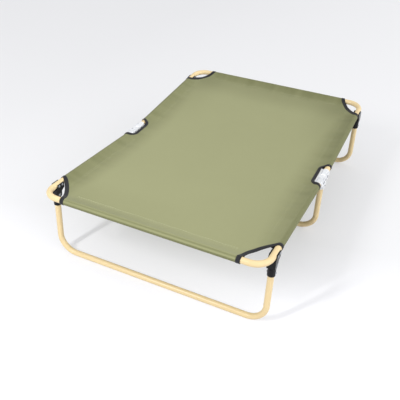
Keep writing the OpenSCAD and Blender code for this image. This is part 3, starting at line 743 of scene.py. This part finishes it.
def studio_paper(mat):
    # Matt white paper with a painted glow: part of what the camera and reflections see is a white glow,
    # which fades from white at the front to pale grey behind and to the left, and keeps the shadows on it pale
    place = add(mat, "ShaderNodeTexCoord").outputs["Object"]
    x, y, _ = add(mat, "ShaderNodeSeparateXYZ", {0: place}).outputs
    depth = add(mat, "ShaderNodeMath", {0: y, 1: FADE_SKEW, 2: x}, operation="MULTIPLY_ADD")
    fade = add(mat, "ShaderNodeMapRange", {"Value": depth, "From Min": FADE_FROM, "From Max": FADE_TO})
    across = add(mat, "ShaderNodeMapRange", {"Value": y, "From Min": RIGHT_Y, "From Max": LEFT_Y,
                                             "To Min": RIGHT_MORE, "To Max": LEFT_MORE})
    along = add(mat, "ShaderNodeMapRange", {"Value": fade, "To Min": FRONT_LEVEL, "To Max": BACK_LEVEL})
    level = add(mat, "ShaderNodeMath", {0: across, 1: along}, operation="ADD")
    tint = add(mat, "ShaderNodeMix", {FACTOR: fade, A: srgb("#F8F8FF"), B: srgb("#F6F6F8")}, data_type="RGBA")
    white = add(mat, "ShaderNodeEmission", {"Color": tint.outputs[COLOUR], "Strength": level})
    fibre = add(mat, "ShaderNodeTexNoise", {"Vector": place, "Scale": per_metre(3.3)})
    colour = add(mat, "ShaderNodeMix", {FACTOR: fibre, A: srgb("#D0D0D1"), B: srgb("#D5D5D6")},
                 data_type="RGBA")
    paper = add(mat, "ShaderNodeBsdfPrincipled", {"Base Color": colour.outputs[COLOUR], "Roughness": 0.8,
                                                  "Specular IOR Level": 0.1})
    path = add(mat, "ShaderNodeLightPath").outputs
    seen = add(mat, "ShaderNodeMath", {0: path["Is Camera Ray"], 1: path["Is Glossy Ray"]},
               operation="MAXIMUM")
    share = add(mat, "ShaderNodeMath", {0: seen, 1: FLOOR_GLOW_SHARE}, operation="MULTIPLY")
    return add(mat, "ShaderNodeMixShader", {0: share, 1: paper, 2: white})


corners = [(x * FLOOR_HALF, y * FLOOR_HALF, 0.0) for x, y in ((-1, -1), (1, -1), (1, 1), (-1, 1))]
floor = mesh_object("studio_floor", corners, [(0, 1, 2, 3)], material("white_studio_paper", studio_paper))

# A soft dome, brighter overhead, and with a light low down on the right of the bed that lights the legs
DOME_HORIZON, DOME_TOP, TOP_FROM = 0.32, 0.95, 0.9
RIGHT_GAIN, LOW_GAIN = 2.6, 1.6
scene = bpy.context.scene
world = bpy.data.worlds.new("studio_dome")
scene.world = world
world.use_nodes = True
world.node_tree.nodes.clear()
_, y, z = add(world, "ShaderNodeSeparateXYZ", {0: add(world, "ShaderNodeTexCoord")}).outputs
overhead = add(world, "ShaderNodeMapRange", {"Value": z, "From Max": TOP_FROM, "To Min": DOME_HORIZON,
                                             "To Max": DOME_TOP})
low = add(world, "ShaderNodeMath", {0: z, 1: -LOW_GAIN}, operation="MULTIPLY")
low_right = add(world, "ShaderNodeMath", {0: y, 1: -RIGHT_GAIN, 2: low}, operation="MULTIPLY_ADD")
right_side = add(world, "ShaderNodeMath", {0: low_right, 1: 0.0}, operation="MAXIMUM")
level = add(world, "ShaderNodeMath", {0: overhead, 1: right_side}, operation="ADD")
dome = add(world, "ShaderNodeBackground", {"Color": srgb("#FAFBFD"), "Strength": level})
add(world, "ShaderNodeOutputWorld", {"Surface": dome})

# A tall strip light as key at the front left, where the shadows of the two front legs point back to. It is
# narrow, so those shadows stay crisp, and its height softens the shadow of the bed.
KEY_PLACE, KEY_TARGET = Vector((-1.78, 0.68, 1.62)), Vector((-0.1, 0.0, 0.1))
key = bpy.data.lights.new("key", "AREA")
key.shape = "RECTANGLE"
key.size = 0.10
key.size_y = 0.76
key.energy = 26.0
key_obj = bpy.data.objects.new("key", key)
key_obj.location = KEY_PLACE
key_obj.rotation_euler = (KEY_TARGET - KEY_PLACE).to_track_quat("-Z", "Y").to_euler()
scene.collection.objects.link(key_obj)

# Camera fitted to the photograph's perspective, with its focal length in pixels
IMAGE_PX, FOCAL_PX = 400, 567.0
CAMERA_PLACE = Vector((-1.3287, -0.5596, 1.0432))
YAW, PITCH, ROLL = 0.444, -0.623, 0.02
ahead = Vector((math.cos(PITCH) * math.cos(YAW), math.cos(PITCH) * math.sin(YAW), math.sin(PITCH)))
level_right = ahead.cross(Vector((0, 0, 1))).normalized()
level_up = level_right.cross(ahead)
right = level_right * math.cos(ROLL) + level_up * math.sin(ROLL)
up = level_up * math.cos(ROLL) - level_right * math.sin(ROLL)
lens = bpy.data.cameras.new("photo_camera")
lens.lens = FOCAL_PX / IMAGE_PX * lens.sensor_width
lens.clip_start = 0.05
camera = bpy.data.objects.new("photo_camera", lens)
camera.matrix_world = Matrix.Translation(CAMERA_PLACE) @ Matrix((right, up, -ahead)).transposed().to_4x4()
scene.collection.objects.link(camera)
scene.camera = camera
scene.view_settings.view_transform = "Standard"
